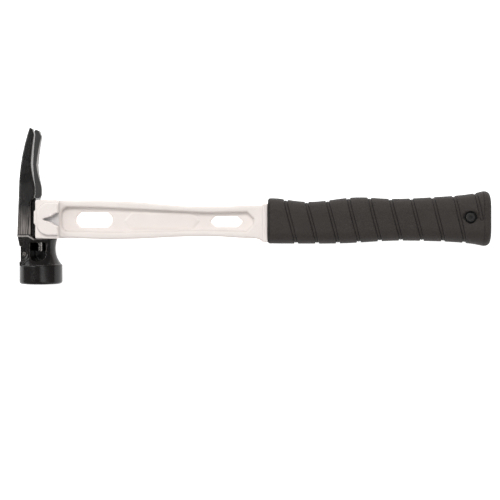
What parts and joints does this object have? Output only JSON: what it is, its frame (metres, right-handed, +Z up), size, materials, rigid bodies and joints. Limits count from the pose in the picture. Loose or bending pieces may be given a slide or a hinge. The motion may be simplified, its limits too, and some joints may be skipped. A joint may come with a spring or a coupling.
{
  "type": "framing hammer",
  "caption": "Straight-claw framing hammer: black steel head bolted to a white windowed metal handle, with a spiral-grooved black rubber grip.",
  "frame": {"origin": "bottom centre of the whole tool's box, where it lies on its side", "axes": "+X along the handle from the head to the butt, +Y from the striking face to the claws, +Z up through the thickness"},
  "size_m": [0.4064, 0.1352, 0.0372],
  "materials": {
    "white_coating": "warm white powder coat, satin",
    "black_steel": "glossy black coating on forged steel",
    "bright_plating": "bright nickel plate",
    "bolt_steel": "bright zinc plate",
    "core_plastic": "hard moulded plastic",
    "grip_rubber": "matte rubber with fine grain",
    "cap_rubber": "matte rubber with fine grain",
    "screw_black": "black oxide, satin"
  },
  "bodies": {
    "hammer": {"handle": "white_coating", "head": "black_steel", "nail_magnet": "bright_plating", "grip_core": "core_plastic", "grip_overlay": "grip_rubber", "grip_cap": "cap_rubber", "grip_nut": "screw_black"},
    "bolt_washer": {"head_bolt_washer": "bolt_steel"},
    "bolt": {"head_bolt": "bolt_steel"},
    "screw_washer": {"grip_screw_washer": "screw_black"},
    "screw": {"grip_screw": "screw_black"}
  },
  "joints": [
    {"name": "head_bolt_travel", "type": "slide", "parent": "hammer", "child": "bolt_washer", "axis": [0, -1, 0], "range_m": [0, 0.007]},
    {"name": "head_bolt_turn", "type": "hinge", "parent": "bolt_washer", "child": "bolt", "pos_m": [-0.1846, -0.0354, 0.0186], "axis": [0, -1, 0], "range_deg": [0, 2780]},
    {"name": "grip_screw_travel", "type": "slide", "parent": "hammer", "child": "screw_washer", "axis": [0, 0, 1], "range_m": [0, 0.0112]},
    {"name": "grip_screw_turn", "type": "hinge", "parent": "screw_washer", "child": "screw", "pos_m": [0.1858, -0.0098, 0.0306], "axis": [0, 0, 1], "range_deg": [0, 5042]}
  ],
  "couplings": [
    {"joint": "head_bolt_turn", "follows": "head_bolt_travel", "rad_per_m": 6927.4},
    {"joint": "grip_screw_turn", "follows": "grip_screw_travel", "rad_per_m": 7854}
  ]
}
